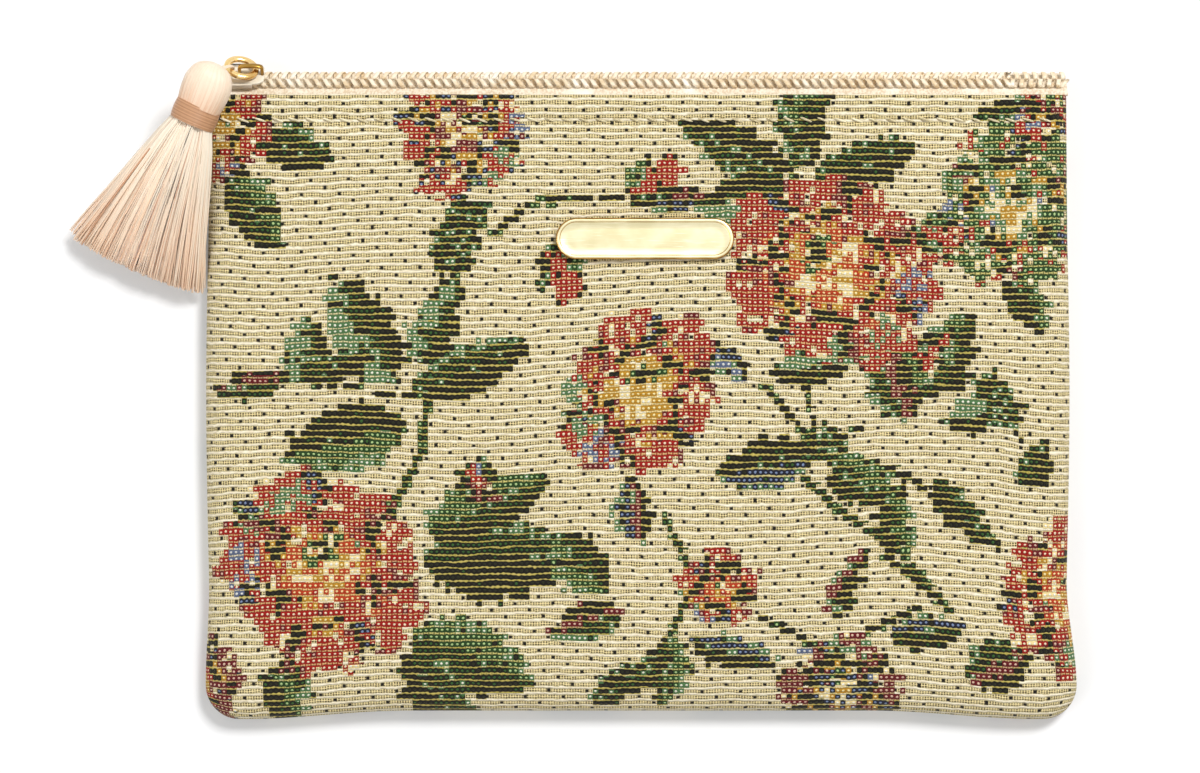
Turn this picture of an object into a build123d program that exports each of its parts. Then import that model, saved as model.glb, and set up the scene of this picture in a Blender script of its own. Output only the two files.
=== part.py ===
from build123d import *

import math
import os

# A flat zip pouch of ribbed tapestry cloth, lying on its back with the mouth towards +Y.
# Z = 0 is the face of the back panel that rests, X runs along the zip, the origin is mid-pouch.

# Outline of the sewn pouch
half_width = 70.3
mouth_y = 50.86
bottom_y = -49.7
corner_radius = 5.6
corner_drop = 1.4
flare_left = 0.8
flare_right = 1.9

# Cloth, lining and seams
cloth = 1.1
lining = 0.3
lining_gap = 0.5
lining_top_y = 49.2
seam_z = 2.1
seam_allowance = 4.0
rib_pitch = 1.117
rib_depth = 0.35

# Height of the front's crown: from the bottom seam to the mouth, and from the middle to a side
crown_y = [(-52.5, 3.9), (-50.4, 4.3), (-49, 5.3), (-46, 6.3), (-40, 7.1), (-30, 7.6), (-15, 7.8),
           (30, 7.8), (42, 7.55), (48, 7.2), (60, 6.2)]
crown_x = [(0, 7.9), (56, 7.9), (63, 7.45), (67.3, 6.7), (69.4, 5.6), (70.4, 4.3), (73, 3.9)]
mouth_x = [(0, 8.2), (56, 8.2), (63, 8.0), (67.3, 7.6), (69.4, 6.9), (70.4, 6.2), (73, 5.9)]
low_side_until_y = 28.0
high_side_from_y = 46.0

# Coil zip: the tapes' line is at the middle of the closed chain, and the chain faces up and out
chain_y = 52.93
chain_z = 3.6
chain_tilt = 40.0
tape = 0.4
tape_seam_y = 42.5
coil_pitch = 1.5
coil_half_width = 1.6
coil_top = 1.4
coil_base = 0.55
coil_lean = 0.75
strand = 0.33
turned_end = 6
chain_left = -65.3
chain_right = 69.8

# Slider, its bail and the pull ring, in the chain's own frame
slider_x = -64.6
slider_length = 7.4
slider_half_width = 2.5
blade_low = -0.95
blade_gap_low = -0.4
blade_gap_high = 1.6
blade_high = 2.1
flange = 0.6
ring_axis_x = -62.25
ring_axis_n = 2.85
ring_length = 5.7
ring_width = 4.9
ring_band = 1.05
ring_thickness = 0.9
ring_rest_lift = 15.0
ring_steps = 26
bail_under = 3.65
bail_top = 4.2
bail_half_width = 0.5

# Name plate
plate_length = 28.9
plate_width = 6.7
plate_thickness = 1.0
plate_x = 1.1
plate_y = 27.3
prong_spacing = 18.0

# Tassel: its axis runs from the hem to the head, down to the left of the pouch
head_centre = Vector(-69.5, 51.6, 11.7)
tassel_turn = 23.6
tassel_drop = 7.0
head_width = 7.7
head_thickness = 5.8
head_below = 3.2
binding_height = 3.2
skirt_length = 26.6
hem_width = 23.3
skirt_sag = 4.8
binding_turns = 5
thread = 0.44
loop_angle = 215.0

# The skirt's rings: share of its length, width and thickness in heads, and depth of the flutes
skirt_rings = [(0, 0.84, 0.84, 0.05), (0.12, 1.06, 0.93, 0.07), (0.5, 1.95, 0.9, 0.1),
               (0.78, 2.55, 0.85, 0.12), (1, hem_width / head_width, 0.75, 0.14)]

tilt = math.radians(chain_tilt)
zip_plane = Plane(origin=(0, chain_y, chain_z), x_dir=(1, 0, 0),
                  z_dir=(0, math.sin(tilt), math.cos(tilt)))
far = 60.0


def height_at(profile, place):
    """The height of a crown profile at one place along it."""
    for (a, low), (b, high) in zip(profile, profile[1:]):
        if place <= b:
            return low + (high - low) * (place - a) / (b - a)
    return profile[-1][1]


def prism_x(points, half_length=80.0):
    """A prism along X from a section in Y and Z."""
    face = Plane.YZ * Polygon(*points, align=None)
    return extrude(face, half_length, both=True)


def outline(inset=0.0):
    """The pouch's outline in plan: slack sides, rounded lower corners and a bottom that bows up."""
    left, right = -half_width + inset, half_width - inset
    low = bottom_y - corner_drop + inset
    r = corner_radius
    k = r * (1 - math.sqrt(0.5))
    out_l, out_r = left - flare_left, right + flare_right
    top = mouth_y + 0.4 * far if inset else mouth_y
    return make_face([
        ThreePointArc((left, top), (left - flare_left * 0.25, 5), (out_l, low + r)),
        ThreePointArc((out_l, low + r), (out_l + k, low + k), (out_l + r, low)),
        ThreePointArc((out_l + r, low), (0, low + corner_drop), (out_r - r, low)),
        ThreePointArc((out_r - r, low), (out_r - k, low + k), (out_r, low + r)),
        ThreePointArc((out_r, low + r), (right + flare_right * 0.2, 5), (right, top)),
        Line((right, top), (left, top)),
    ])


def ribbed_crown():
    """The crown over Y with the cloth's ribs on it, as a prism along X."""
    points = []
    count = round((mouth_y - bottom_y + corner_drop) / rib_pitch)
    for i in range(2 * count + 3):
        y = mouth_y + rib_pitch * (0.25 - i / 2)
        points.append((y, height_at(crown_y, y) - (rib_depth if i % 2 else 0)))
    return prism_x([(points[0][0], 0)] + points + [(points[-1][0], 0)])


def smooth_crown(depth):
    """The crown over Y, let down by depth, as a prism along X."""
    points = [(y, z - depth) for y, z in crown_y]
    return prism_x([(points[-1][0], 0)] + points[::-1] + [(points[0][0], 0)])


def side_crown(depth):
    """The crown over X, let down by depth: low along the sides and high at the mouth's corners."""
    sections = []
    for y, side in ((-far, crown_x), (low_side_until_y, crown_x), (high_side_from_y, mouth_x), (far, mouth_x)):
        right = [(x - depth * 0.8 if x else x, z - depth) for x, z in side]
        left = [(-x, z) for x, z in right[:0:-1]]
        points = [(right[-1][0], 0)] + right[::-1] + left[::-1] + [(left[0][0], 0)]
        plane = Plane(origin=(0, y, 0), x_dir=(1, 0, 0), z_dir=(0, -1, 0))
        sections.append(plane * Polygon(*points, align=None))
    return loft(sections, ruled=True)


def slab(face, low, high):
    """A face in plan made into a slab between two heights."""
    return Pos(0, 0, low) * extrude(face, high - low, dir=(0, 0, 1))


def on_zip(shape):
    """A shape in the chain's frame (X along, Y across and down the back, Z out of its face) in place."""
    return zip_plane.location * shape


def block(x0, x1, y0, y1, z0, z1):
    """A block between two corners."""
    return Pos((x0 + x1) / 2, (y0 + y1) / 2, (z0 + z1) / 2) * Box(x1 - x0, y1 - y0, z1 - z0)


def ribbon(points, thickness):
    """The section of a strip of even thickness along a line of points in Y and Z, with mitred bends."""
    one, other = [], []
    for i, (y, z) in enumerate(points):
        before = points[max(i - 1, 0)]
        after = points[min(i + 1, len(points) - 1)]
        a = Vector(y - before[0], z - before[1]) if i else Vector(after[0] - y, after[1] - z)
        b = Vector(after[0] - y, after[1] - z) if i < len(points) - 1 else a
        a, b = a.normalized(), b.normalized()
        mid = (a + b).normalized()
        reach = thickness / 2 / mid.dot(a)
        one.append((y - mid.Y * reach, z + mid.X * reach))
        other.append((y + mid.Y * reach, z - mid.X * reach))
    return one + other[::-1]


def slider_room():
    """The room that the slider needs past the panels' edges, along the whole zip."""
    room = slider_half_width + 0.3
    return on_zip(block(-90, 90, -room, room, blade_low - 0.3, 9))


def make_front_panel():
    """The front's cloth: ribbed outside, with its seam allowances turned in round three sides."""
    outer = slab(outline(), seam_z, 12) & ribbed_crown()
    outer = outer & side_crown(0)
    inner = slab(outline(seam_allowance), 0, 12) & smooth_crown(cloth)
    inner = inner & side_crown(cloth)
    panel = outer - inner - slider_room()
    for side in (-1, 1):
        x = plate_x + side * prong_spacing / 2
        panel -= block(x - 0.35, x + 0.35, plate_y - 0.8, plate_y + 0.8, 5, 9)
    return panel


def make_back_panel():
    """The back's cloth: it lies flat, with rolled edges and its seam allowances turned in."""
    panel = slab(outline(), 0, seam_z)
    panel = chamfer(panel.faces().sort_by(Axis.Z)[0].edges(), 1.0)
    hollow = slab(outline(seam_allowance), cloth, far)
    return panel - hollow


def make_linings():
    """The two halves of the lining, clear of the cloth and tucked behind the tapes."""
    shape = []
    for depth in (cloth + lining_gap, cloth + lining_gap + lining):
        inset = seam_allowance + 0.3 + depth - cloth - lining_gap
        one = slab(outline(inset), seam_z, 12) & smooth_crown(depth)
        shape.append(one & side_crown(depth))
    front = shape[0] - shape[1]
    front = front & block(-80, 80, -80, lining_top_y, 0, 12)
    step = tape + 0.1
    z = cloth + 0.05 + lining / 2
    path = [(-60, z), (tape_seam_y - 0.8, z), (tape_seam_y - 0.2, z + step), (lining_top_y, z + step)]
    back = prism_x(ribbon(path, lining)) & slab(outline(seam_allowance + 0.3), 0, 12)
    return front - back, back


def make_tapes(front_panel, back_panel):
    """The two zip tapes: sewn behind the cloth at the mouth, their inner edges meet under the coil."""
    c, s = math.cos(tilt), math.sin(tilt)
    near = [(chain_y + y * c, chain_z - y * s) for y in (-0.04, -3.0)]
    under = [(y, height_at(crown_y, y) - cloth - tape / 2 - 0.05) for y in (48, tape_seam_y)]
    front = prism_x(ribbon(near + under, tape), 70)
    away = [(chain_y + y * c, chain_z - y * s) for y in (0.04, 2.9)]
    z = cloth + tape / 2 + 0.05
    below = [(55.5, 1.15), (54.9, 0.55), (53.2, 0.5), (51.3, 1.0), (50.5, z), (tape_seam_y, z)]
    back = prism_x(ribbon(away + below, tape), 70)
    left = slider_x - slider_length / 2
    gap = Polygon((left - 9, 1.4), (left + 0.3, 1.1), (left + 2.9, 0.05),
                  (left + 2.9, -0.05), (left + 0.3, -1.1), (left - 9, -1.4), align=None)
    parting = on_zip(slab(gap, -1, 1))
    trimmed = [front - front_panel - parting, back - back_panel - parting]
    return [tape.solids().sort_by(SortBy.VOLUME)[-1] for tape in trimmed]


def make_coil(side):
    """One row of the coil: leaning loops on a strip along the tape; the last few lean the other way."""
    count = int((chain_right - chain_left) / coil_pitch)
    loops = []
    for i in range(count):
        x = chain_left + (i + 0.5 + (0.25 if side > 0 else -0.25)) * coil_pitch
        lean = coil_lean if i < count - turned_end else -coil_lean
        end = coil_half_width * side
        tip = -strand * side * 0.9
        loops.append(Polygon(
            (x - strand, tip), (x + strand, tip), (x + strand, -tip),
            (x + lean + 0.45, end), (x + lean - 0.45, end), (x - strand, -tip), align=None))
    teeth = slab(Sketch() + loops, coil_base, coil_top)
    strip = block(chain_left - 0.4, chain_right, min(0.45 * side, 1.4 * side), max(0.45 * side, 1.4 * side),
                  tape / 2, coil_base)
    return on_zip(teeth + strip)


def make_slider():
    """The slider: two blades joined by the wedge, side flanges over the coil, and the bail on top."""
    half = slider_length / 2
    w = slider_half_width
    plan = make_face(Polyline(
        (-half, w - 0.9), (-half + 0.8, w), (0.2, w), (half - 0.9, w - 0.35), (half, w - 1.0),
        (half, 1.0 - w), (half - 0.9, 0.35 - w), (0.2, -w), (-half + 0.8, -w), (-half, 0.9 - w), close=True))
    whole = slab(plan, blade_low, blade_high)
    whole = chamfer(whole.faces().sort_by(Axis.Z)[-1].edges(), 0.25)
    channel = block(-half - 1, half + 1, flange - w, w - flange, blade_gap_low, blade_gap_high)
    slots = block(-half - 1, half + 1, -w - 1, w + 1, blade_gap_low, -blade_gap_low)
    diamond = Polygon((0.1 - half, 0.75), (0.1 - half, -0.75), (2.3 - half, 0), align=None)
    wedge = slab(diamond, blade_gap_low - 0.1, blade_gap_high + 0.1)
    body = whole - channel - slots + wedge
    left, right = ring_axis_x - slider_x - 2.95, ring_axis_x - slider_x + 1.35
    arch = Plane.XZ * make_face(Polyline(
        (left, blade_high - 0.1), (left, bail_top - 0.45), (left + 0.45, bail_top), (right - 0.45, bail_top),
        (right, bail_top - 0.45), (right, blade_high - 0.1), close=True))
    eye = Plane.XZ * make_face(Polyline(
        (left + 0.7, blade_high - 0.2), (left + 0.7, bail_under - 0.25), (left + 0.95, bail_under),
        (right - 0.8, bail_under), (right - 0.55, bail_under - 0.25), (right - 0.55, blade_high - 0.2),
        close=True))
    bail = extrude(arch, bail_half_width, both=True) - extrude(eye, bail_half_width + 1, both=True)
    return on_zip(Pos(slider_x, 0, 0) * (body + bail))


def ring_place(shape):
    """A shape in the ring's frame, with the bar in the bail on the Y axis, lifted as the ring rests."""
    return on_zip(Pos(ring_axis_x, 0, ring_axis_n) * Rot(0, ring_rest_lift, 0) * shape)


def make_ring():
    """The oval pull ring of flat band."""
    middle = -(ring_length - ring_band) / 2
    half = ring_thickness / 2
    rings = []
    for inset, height in ((0, 0), (0.18, half), (ring_band - 0.18, half), (ring_band, 0)):
        rings.append([(middle + (ring_length / 2 - inset) * math.cos(a),
                       (ring_width / 2 - inset) * math.sin(a), height)
                      for a in (math.tau * i / ring_steps for i in range(ring_steps))])
    rings += [[(x, y, -z) for x, y, z in ring] for ring in rings[2:0:-1]]
    return ring_place(skin(rings, closed=True))


def make_plate():
    """The bare name plate: a bevelled stadium with two prongs through the cloth."""
    top = height_at(crown_y, plate_y)
    body = extrude(SlotOverall(plate_length, plate_width), plate_thickness)
    body = chamfer(body.faces().sort_by(Axis.Z)[-1].edges(), 0.45)
    plate = Pos(plate_x, plate_y, top) * body
    under = top - cloth - 0.45
    for side in (-1, 1):
        x = plate_x + side * prong_spacing / 2
        plate += block(x - 0.25, x + 0.25, plate_y - 0.7, plate_y + 0.7, under, top + 0.1)
    return plate


def make_plate_backing():
    """The thin strip inside the cloth that the plate's prongs go through."""
    top = height_at(crown_y, plate_y) - cloth - 0.05
    strip = Pos(plate_x, plate_y, top - 0.15) * Box(prong_spacing + 5, 4.2, 0.3)
    strip = chamfer(strip.edges().filter_by(Axis.Z), 1.2)
    for side in (-1, 1):
        x = plate_x + side * prong_spacing / 2
        strip -= block(x - 0.3, x + 0.3, plate_y - 0.75, plate_y + 0.75, top - 1, top + 1)
    return strip


def skin(rings, closed=False):
    """A solid of flat triangles over rings of points, closed by its end rings or on itself."""
    faces = []
    count = len(rings[0])
    pairs = list(zip(rings, rings[1:]))
    if closed:
        pairs.append((rings[-1], rings[0]))
    for one, other in pairs:
        for i in range(count):
            j = (i + 1) % count
            faces.append(Face(Wire.make_polygon([one[i], one[j], other[j]])))
            faces.append(Face(Wire.make_polygon([one[i], other[j], other[i]])))
    if not closed:
        faces += [Face(Wire.make_polygon(rings[0])), Face(Wire.make_polygon(rings[-1]))]
    solid = Solid(Shell(faces))
    return solid if solid.volume > 0 else Solid(Shell([-face for face in faces]))


def tassel_place(shape):
    """A shape in the tassel's frame (Z from hem to head, X across it, Y its thickness) in place."""
    turn = math.radians(tassel_turn)
    drop = math.radians(tassel_drop)
    along = Vector(math.sin(turn) * math.cos(drop), math.cos(turn) * math.cos(drop), math.sin(drop))
    across = Vector(math.cos(turn), -math.sin(turn), 0)
    return Plane(origin=head_centre, x_dir=across, z_dir=along).location * shape


def fluted(width, thickness, flutes, z, depth=0.05, sag=0.0):
    """A fluted oval ring of points round the tassel's axis at one place along it."""
    points = []
    for i in range(2 * flutes):
        a = math.pi * i / flutes
        r = 1 - depth * (i % 2)
        points.append((width / 2 * r * math.cos(a), thickness / 2 * r * math.sin(a) + sag, z))
    return points


def make_tassel(loop):
    """The tassel's head, its binding and the skirt of threads, each a skin over fluted rings."""
    crown = [(3.85, 0.3), (3.4, 0.62), (2.3, 0.86), (0.6, 1.0), (-1.4, 0.99), (-head_below, 0.92)]
    head = skin([fluted(head_width * k, head_thickness * k, 12, z) for z, k in crown])
    step = binding_height / binding_turns
    rings = []
    for i in range(2 * binding_turns + 1):
        k = 0.97 if i % 2 else 0.91
        rings.append(fluted(head_width * k, head_thickness * k, 8, -head_below - 0.02 - i * step / 2, 0.0))
    binding = skin(rings)
    top = -head_below - binding_height - 0.04
    rings = []
    for part, wide, thick, depth in skirt_rings:
        rings.append(fluted(head_width * wide, head_thickness * thick, 17, top - skirt_length * part,
                            depth, skirt_sag * part ** 2))
    skirt = skin(rings)
    head, binding, skirt = (tassel_place(one) for one in (head, binding, skirt))
    return head - loop, binding, skirt


def make_loop():
    """The thread loop that goes from inside the head round the band of the ring."""
    at = math.radians(loop_angle)
    reach = (ring_length - ring_band) / 2
    spot = (reach * math.cos(at) - reach, (ring_width - ring_band) / 2 * math.sin(at), 0)
    low = ring_place(Pos(*spot) * Box(1, 1, 1)).center()
    ahead = ring_place(Pos(spot[0] + reach * math.sin(at), spot[1] - reach * math.cos(at), 0) * Box(1, 1, 1)).center()
    high = head_centre + Vector(1.1, 2.0, -0.6)
    up = high - low
    width = up.cross(ahead - low)
    frame = Plane(origin=low, x_dir=width, z_dir=width.cross(up))
    size = up.length
    link = Polygon((-1.3, -0.95), (-0.85, -1.42), (0.85, -1.42), (1.3, -0.95), (0.9, size), (-0.9, size), align=None)
    hole = Polygon((-0.9, -0.8), (-0.7, -1.05), (0.7, -1.05), (0.9, -0.8), (0.45, size - 0.5),
                   (-0.45, size - 0.5), align=None)
    return extrude(frame * (link - hole), thread / 2, both=True)


os.makedirs("parts", exist_ok=True)

front_panel = make_front_panel()
back_panel = make_back_panel()
lining_front, lining_back = make_linings()
tape_front, tape_back = make_tapes(front_panel, back_panel)
loop = make_loop()
head, binding, skirt = make_tassel(loop)

pieces = {
    "front_panel": front_panel,
    "back_panel": back_panel,
    "lining_front": lining_front,
    "lining_back": lining_back,
    "zip_tape_front": tape_front,
    "zip_tape_back": tape_back,
    "zip_coil_front": make_coil(-1),
    "zip_coil_back": make_coil(1),
    "slider_body": make_slider(),
    "pull_ring": make_ring(),
    "name_plate": make_plate(),
    "plate_backing": make_plate_backing(),
    "tassel_loop": loop,
    "tassel_head": head,
    "tassel_binding": binding,
    "tassel_skirt": skirt,
}
for name, shape in pieces.items():
    export_step(shape, f"parts/{name}.step")
    print(name, round(shape.volume, 1), "mm3")
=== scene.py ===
# Flat tapestry pouch with a coil zip, a pull ring and a silk tassel.
# Lengths in the settings are in millimetres and become metres as the meshes are made.
import math
import random

import bmesh
import bpy
import numpy as np
from mathutils import Matrix, Vector


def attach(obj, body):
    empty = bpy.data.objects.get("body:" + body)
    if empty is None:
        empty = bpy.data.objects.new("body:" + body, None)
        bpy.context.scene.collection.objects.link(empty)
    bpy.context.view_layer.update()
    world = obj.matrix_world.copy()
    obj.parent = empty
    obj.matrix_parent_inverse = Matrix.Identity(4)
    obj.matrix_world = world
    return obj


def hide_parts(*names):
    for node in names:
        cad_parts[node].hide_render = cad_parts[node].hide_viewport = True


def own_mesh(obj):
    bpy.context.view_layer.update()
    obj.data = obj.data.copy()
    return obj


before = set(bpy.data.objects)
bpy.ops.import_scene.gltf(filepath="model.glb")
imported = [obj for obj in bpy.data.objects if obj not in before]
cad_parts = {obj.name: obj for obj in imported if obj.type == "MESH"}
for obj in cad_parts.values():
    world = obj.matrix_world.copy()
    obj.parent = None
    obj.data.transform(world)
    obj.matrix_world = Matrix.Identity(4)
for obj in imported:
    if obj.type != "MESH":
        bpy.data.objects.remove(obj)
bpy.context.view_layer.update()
mm = 0.001
random.seed(7)
print("frame loaded")


def newMaterial(name):
    mat = bpy.data.materials.new(name)
    mat.use_nodes = True
    return mat, mat.node_tree, mat.node_tree.nodes["Principled BSDF"]


def addNode(tree, kind, values=(), **settings):
    node = tree.nodes.new(kind)
    for key, value in settings.items():
        setattr(node, key, value)
    for key, value in dict(values).items():
        node.inputs[key].default_value = value
    return node


# Puts values or links into a node's inputs
def feed(tree, node, pairs):
    for slot, value in pairs:
        if isinstance(value, (int, float, tuple)):
            node.inputs[slot].default_value = value
        elif value is not None:
            tree.links.new(value, node.inputs[slot])
    return node


def mathNode(tree, operation, first, second=None):
    node = addNode(tree, "ShaderNodeMath", operation=operation)
    return feed(tree, node, enumerate((first, second))).outputs[0]


# Short names for kinds of sum in one tree, so that long formulas stay readable
def sums(tree, *kinds):
    return [lambda first, second, kind=kind: mathNode(tree, kind, first, second) for kind in kinds]


def mixColour(tree, factor, first, second, blend="MIX"):
    node = addNode(tree, "ShaderNodeMix", data_type="RGBA", blend_type=blend)
    return feed(tree, node, ((0, factor), (6, first), (7, second))).outputs[2]


def stepBetween(tree, value, low, high):
    node = addNode(tree, "ShaderNodeMapRange", interpolation_type="SMOOTHSTEP")
    return feed(tree, node, (("Value", value), ("From Min", low), ("From Max", high))).outputs["Result"]


def attribute(tree, name, output="Fac"):
    return addNode(tree, "ShaderNodeAttribute", attribute_name=name).outputs[output]


# An effect shared by several materials, as a group with named sockets
def newGroup(name, given, made):
    group = bpy.data.node_groups.new(name, "ShaderNodeTree")
    for label, kind, value in given:
        group.interface.new_socket(label, in_out="INPUT", socket_type="NodeSocket" + kind).default_value = value
    for label, kind in made:
        group.interface.new_socket(label, in_out="OUTPUT", socket_type="NodeSocket" + kind)
    return group, group.nodes.new("NodeGroupInput").outputs, group.nodes.new("NodeGroupOutput").inputs


def placeGroup(tree, group, **values):
    return feed(tree, addNode(tree, "ShaderNodeGroup", node_tree=group), values.items()).outputs


# Noise on coordinates, turned and stretched where that is given
def noise(tree, where, scale, detail, turn=None, stretch=None):
    if stretch is not None:
        mapping = addNode(tree, "ShaderNodeMapping")
        feed(tree, mapping, (("Vector", where), ("Rotation", turn), ("Scale", stretch)))
        where = mapping.outputs[0]
    node = addNode(tree, "ShaderNodeTexNoise", {"Scale": scale, "Detail": detail})
    return feed(tree, node, (("Vector", where),)).outputs["Fac"]


# Puts a group's colour, roughness and relief on a shader, with the sockets that stay constant
def finishWith(tree, shader, effect, relief, depth, **constants):
    bump = addNode(tree, "ShaderNodeBump", {"Strength": relief, "Distance": depth})
    feed(tree, bump, (("Height", effect["Height"]),))
    feed(tree, shader, (("Normal", bump.outputs[0]), ("Base Color", effect["Color"]),
                        ("Roughness", effect["Roughness"])))
    for name, value in constants.items():
        shader.inputs[name].default_value = value


# A hex colour as the linear values a socket takes
def colour(text):
    parts = [int(text[i:i + 2], 16) / 255 for i in (1, 3, 5)]
    return tuple(c / 12.92 if c < 0.04045 else ((c + 0.055) / 1.055) ** 2.4 for c in parts) + (1.0,)


def linked(name, data):
    made = bpy.data.objects.new(name, data)
    bpy.context.scene.collection.objects.link(made)
    return made


def toMesh(bm, name, mat):
    mesh = bpy.data.meshes.new(name)
    bm.to_mesh(mesh)
    bm.free()
    mesh.materials.append(mat)
    return mesh


# A mesh as a piece that rides on a body, in place of the CAD nodes named
def toPiece(mesh, body, replaced):
    piece = linked(mesh.name, mesh)
    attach(piece, body)
    if replaced:
        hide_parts(*replaced)
    return piece


# A finished piece from a bmesh in millimetres
def toObject(bm, name, body, mat, *replaced, normals=True):
    if normals:
        bmesh.ops.recalc_face_normals(bm, faces=bm.faces[:])
    bmesh.ops.scale(bm, vec=(mm, mm, mm), verts=bm.verts[:])
    for face in bm.faces:
        face.smooth = True
    return toPiece(toMesh(bm, name, mat), body, replaced)


def shift(bm, verts, *by):
    bmesh.ops.translate(bm, verts=verts, vec=by)


def turn(bm, verts, angle, axis, cent=(0, 0, 0)):
    bmesh.ops.rotate(bm, verts=verts, matrix=Matrix.Rotation(angle, 3, axis), cent=cent)


def scaleBy(bm, verts, *by):
    bmesh.ops.scale(bm, vec=by, verts=verts)


def vertsOf(geom):
    return [g for g in geom if isinstance(g, bmesh.types.BMVert)]


def edgesOf(geom):
    return [g for g in geom if isinstance(g, bmesh.types.BMEdge)]


# Extrudes edges once and gives the new vertices and the new open edges
def drawEdges(bm, edges):
    made = bmesh.ops.extrude_edge_only(bm, edges=edges)["geom"]
    return vertsOf(made), [edge for edge in edgesOf(made) if edge.is_boundary]


# Turns a section round an axis: closed turns, or a screw where each step moves it on
def sweep(bm, geom, axis, angle, steps, move=(0, 0, 0), merge=False, cent=(0, 0, 0)):
    return bmesh.ops.spin(bm, geom=geom, cent=cent, axis=axis, dvec=move, angle=angle, steps=steps,
                          use_merge=merge, use_duplicate=False)["geom_last"]


# A thread's section one unit out from the axis, ready for a sweep
def threadRing(bm, radius, height=0.0):
    ring = bmesh.ops.create_circle(bm, segments=6, radius=radius)["verts"]
    turn(bm, ring, math.pi / 2, "X")
    shift(bm, ring, 1, 0, height)
    return ring + list({e for v in ring for e in v.link_edges})


# A vertex by its angle round the axis and its distance out from a round of one unit
def roundPlace(vert):
    return math.atan2(vert.co.y, vert.co.x), math.hypot(vert.co.x, vert.co.y) - 1


def softSquare(value, power):
    return math.copysign(abs(value) ** power, value)


# Yarns of the jacquard: the strip's colour, the small flecks in it, the tie line beside it, and
# how far the strip's own colour crosses the tie line to the next rib
yarns = {
    "ground": ("#F6E3A8", "#453314", "#FFF5DA", 0.0),
    "red": ("#9E130C", "#F8E2C0", "#E6B67A", 0.95),
    "rust": ("#B93A18", "#FFE2A2", "#F2CE84", 0.85),
    "maroon": ("#640E18", "#E2BCA4", "#D2AC80", 0.8),
    "black": ("#0C0904", "#22240F", "#C6B558", 0.0),
    "forest": ("#0E1707", "#35602A", "#C0B050", 0.3),
    "moss": ("#22401A", "#B4D08C", "#D2C874", 0.75),
    "sage": ("#4F7648", "#F3F1DC", "#EBDFA8", 0.8),
    "navy": ("#171B2C", "#7F90B4", "#D2C684", 0.1),
    "slate": ("#5E6A86", "#E8E7E0", "#ECDFBC", 0.75),
    "gold": ("#BE8A24", "#FFEFB0", "#FAE4A0", 0.6),
    "cream": ("#F4DD9E", "#FFFBEC", "#FFF7E0", 0.4),
}
yarnNames = list(yarns)
yarnTable = np.array([[colour(shade)[:3] for shade in yarns[name][:3]] for name in yarnNames])
crossTable = np.array([yarns[name][3] for name in yarnNames])
yarn = {name: number for number, name in enumerate(yarnNames)}


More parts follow.
